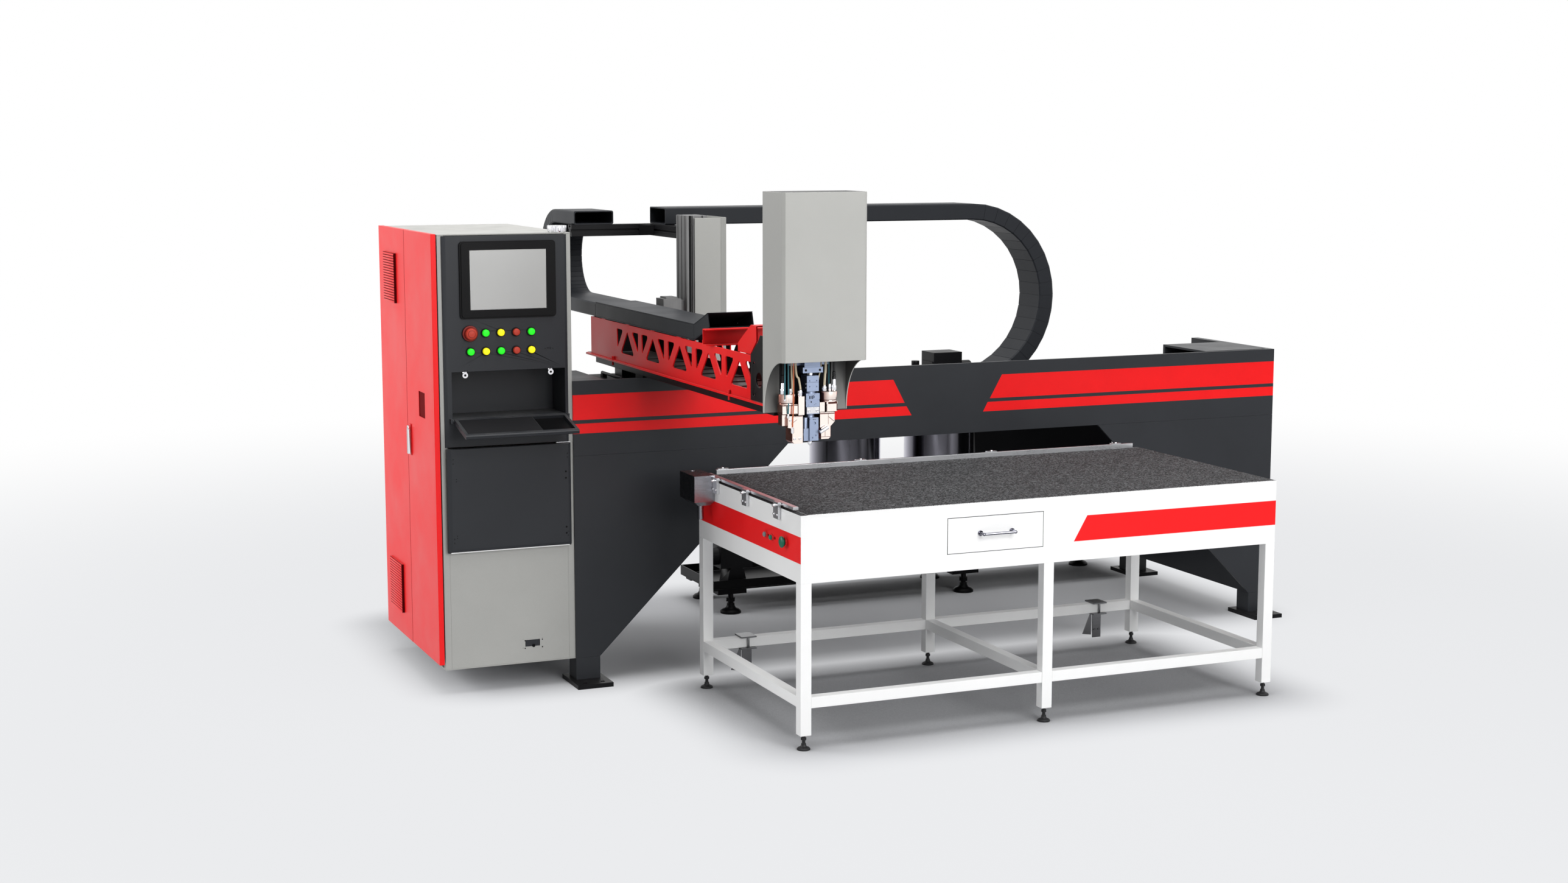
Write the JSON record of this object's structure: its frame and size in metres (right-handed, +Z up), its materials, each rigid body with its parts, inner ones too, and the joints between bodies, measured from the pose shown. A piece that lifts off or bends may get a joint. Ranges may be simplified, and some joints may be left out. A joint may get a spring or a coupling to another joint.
{
  "type": "foam gasket machine",
  "caption": "Gantry machine that lays foam gaskets on a worktable: travelling truss arm, mixing head, drag chains, tanks and control cabinet.",
  "frame": {"origin": "floor level below the middle of the machine's footprint", "axes": "+X along the beam to the operator's right, +Y away from the operator, +Z up"},
  "size_m": [3.895, 2.905, 1.982],
  "materials": {
    "charcoal_paint": "fine satin powder coat",
    "black_paint": "satin black powder coat",
    "red_paint": "satin red powder coat",
    "grey_paint": "light grey powder coat",
    "white_paint": "white powder coat",
    "ground_steel": "ground",
    "stainless": "bright stainless sheet",
    "bright_chrome": "polished",
    "anodised": "blue-grey anodised",
    "profile_alu": "clear anodised extrusion",
    "valve_copper": "pale copper plating, satin",
    "speckled_top": "speckled grey and black laminate",
    "screen_black": "gloss black bezel",
    "button_green": "translucent lens",
    "button_yellow": "translucent lens",
    "button_red": "moulded",
    "stop_green": "moulded",
    "button_grey": "moulded",
    "hose": "smooth hose",
    "foot_rubber": "moulded black"
  },
  "bodies": {
    "root": {"front_panel": "charcoal_paint", "main_beam": "charcoal_paint", "side_frames": "charcoal_paint", "anchor_feet": "black_paint", "beam_covers": "charcoal_paint", "x_rails": "ground_steel", "platform": "black_paint", "tanks": "stainless", "feed_motors": "black_paint", "supply_housing": "black_paint", "x_chain_lower": "charcoal_paint", "cabinet_shell": "grey_paint", "cabinet_front": "charcoal_paint", "monitor": "screen_black", "control_rack": "screen_black", "cabinet_fittings": "bright_chrome", "table_body": "white_paint", "table_top": "speckled_top", "table_frame": "white_paint", "table_feet": "foot_rubber", "fence_bars": "ground_steel", "table_brackets": "ground_steel", "purge_box": "ground_steel"},
    "keyboard_shelf": {"keyboard_shelf": "charcoal_paint"},
    "lower_door": {"lower_door": "charcoal_paint"},
    "side_door_front": {"side_door_front": "red_paint"},
    "side_door_rear": {"side_door_rear": "red_paint"},
    "door_handle": {"door_handle": "bright_chrome"},
    "emergency_stop": {"emergency_stop": "button_red"},
    "table_button_grey": {"table_button_grey": "button_grey"},
    "table_button_green": {"table_button_green": "button_green"},
    "table_stop": {"table_stop": "stop_green"},
    "drawer": {"drawer": "white_paint", "drawer_handle": "bright_chrome"},
    "carriage": {"carriage": "black_paint", "column": "profile_alu", "column_cover": "grey_paint", "chain_frame": "black_paint", "carriage_ducts": "charcoal_paint"},
    "x_chain_loop": {"x_chain_loop": "charcoal_paint"},
    "y_chain_loop": {"y_chain_loop": "charcoal_paint"},
    "arm": {"arm_truss": "red_paint", "arm_beam": "black_paint", "y_chain_lower": "charcoal_paint", "head_cover": "grey_paint", "z_axis": "black_paint"},
    "head": {"head_block": "anodised", "valve_blocks": "valve_copper", "head_fittings": "bright_chrome", "hoses": "hose"},
    "rotor": {"rotor": "ground_steel"},
    "button_1": {"button_1": "button_green"},
    "button_2": {"button_2": "button_yellow"},
    "button_3": {"button_3": "button_red"},
    "button_4": {"button_4": "button_green"},
    "button_5": {"button_5": "button_green"},
    "button_6": {"button_6": "button_yellow"},
    "button_7": {"button_7": "button_green"},
    "button_8": {"button_8": "button_red"},
    "button_9": {"button_9": "button_yellow"}
  },
  "joints": [
    {"name": "x_travel", "type": "slide", "parent": "root", "child": "carriage", "axis": [1, 0, 0], "range_m": [0, 2]},
    {"name": "y_travel", "type": "slide", "parent": "carriage", "child": "arm", "axis": [0, 1, 0], "range_m": [0, 1.12]},
    {"name": "z_travel", "type": "slide", "parent": "arm", "child": "head", "axis": [0, 0, 1], "range_m": [-0.24, 0]},
    {"name": "rotor_turn", "type": "hinge", "parent": "head", "child": "rotor", "pos_m": [-0.9745, -1.3245, 1.367], "axis": [0, 0, 1], "continuous": true},
    {"name": "x_chain_roll", "type": "slide", "parent": "carriage", "child": "x_chain_loop", "axis": [1, 0, 0], "range_m": [-1, 0]},
    {"name": "y_chain_roll", "type": "slide", "parent": "carriage", "child": "y_chain_loop", "axis": [0, 1, 0], "range_m": [0, 0.56]},
    {"name": "keyboard_shelf_hinge", "type": "hinge", "parent": "root", "child": "keyboard_shelf", "pos_m": [-1.6335, 0.052, 1.082], "axis": [-1, 0, 0], "range_deg": [0, 103]},
    {"name": "lower_door_hinge", "type": "hinge", "parent": "root", "child": "lower_door", "pos_m": [-1.3915, 0.0619, 0.773], "axis": [0, 0, 1], "range_deg": [0, 95]},
    {"name": "side_door_front_hinge", "type": "hinge", "parent": "root", "child": "side_door_front", "pos_m": [-1.9115, 0.0535, 0.964], "axis": [0, 0, 1], "range_deg": [0, 110]},
    {"name": "side_door_rear_hinge", "type": "hinge", "parent": "root", "child": "side_door_rear", "pos_m": [-1.9115, 0.9295, 0.964], "axis": [0, 0, -1], "range_deg": [0, 110]},
    {"name": "door_handle_turn", "type": "hinge", "parent": "side_door_front", "child": "door_handle", "pos_m": [-1.9415, 0.4405, 1.014], "axis": [1, 0, 0], "range_deg": [0, 90]},
    {"name": "drawer_slide", "type": "slide", "parent": "root", "child": "drawer", "axis": [0, -1, 0], "range_m": [0, 0.35]},
    {"name": "button_1_press", "type": "slide", "parent": "root", "child": "button_1", "axis": [0, 1, 0], "range_m": [0, 0.004], "stiffness_N_per_m": 700, "springref_m": -0.001},
    {"name": "button_2_press", "type": "slide", "parent": "root", "child": "button_2", "axis": [0, 1, 0], "range_m": [0, 0.004], "stiffness_N_per_m": 700, "springref_m": -0.001},
    {"name": "button_3_press", "type": "slide", "parent": "root", "child": "button_3", "axis": [0, 1, 0], "range_m": [0, 0.004], "stiffness_N_per_m": 700, "springref_m": -0.001},
    {"name": "button_4_press", "type": "slide", "parent": "root", "child": "button_4", "axis": [0, 1, 0], "range_m": [0, 0.004], "stiffness_N_per_m": 700, "springref_m": -0.001},
    {"name": "button_5_press", "type": "slide", "parent": "root", "child": "button_5", "axis": [0, 1, 0], "range_m": [0, 0.004], "stiffness_N_per_m": 700, "springref_m": -0.001},
    {"name": "button_6_press", "type": "slide", "parent": "root", "child": "button_6", "axis": [0, 1, 0], "range_m": [0, 0.004], "stiffness_N_per_m": 700, "springref_m": -0.001},
    {"name": "button_7_press", "type": "slide", "parent": "root", "child": "button_7", "axis": [0, 1, 0], "range_m": [0, 0.004], "stiffness_N_per_m": 700, "springref_m": -0.001},
    {"name": "button_8_press", "type": "slide", "parent": "root", "child": "button_8", "axis": [0, 1, 0], "range_m": [0, 0.004], "stiffness_N_per_m": 700, "springref_m": -0.001},
    {"name": "button_9_press", "type": "slide", "parent": "root", "child": "button_9", "axis": [0, 1, 0], "range_m": [0, 0.004], "stiffness_N_per_m": 700, "springref_m": -0.001},
    {"name": "emergency_stop_press", "type": "slide", "parent": "root", "child": "emergency_stop", "axis": [0, 1, 0], "range_m": [0, 0.005], "stiffness_N_per_m": 1500, "springref_m": -0.001},
    {"name": "table_button_grey_press", "type": "slide", "parent": "root", "child": "table_button_grey", "axis": [1, 0, 0], "range_m": [0, 0.004], "stiffness_N_per_m": 700, "springref_m": -0.001},
    {"name": "table_button_green_press", "type": "slide", "parent": "root", "child": "table_button_green", "axis": [1, 0, 0], "range_m": [0, 0.004], "stiffness_N_per_m": 700, "springref_m": -0.001},
    {"name": "table_stop_press", "type": "slide", "parent": "root", "child": "table_stop", "axis": [1, 0, 0], "range_m": [0, 0.004], "stiffness_N_per_m": 1200, "springref_m": -0.001}
  ],
  "couplings": [
    {"joint": "x_chain_roll", "follows": "x_travel", "ratio": -0.5},
    {"joint": "y_chain_roll", "follows": "y_travel", "ratio": 0.5}
  ]
}
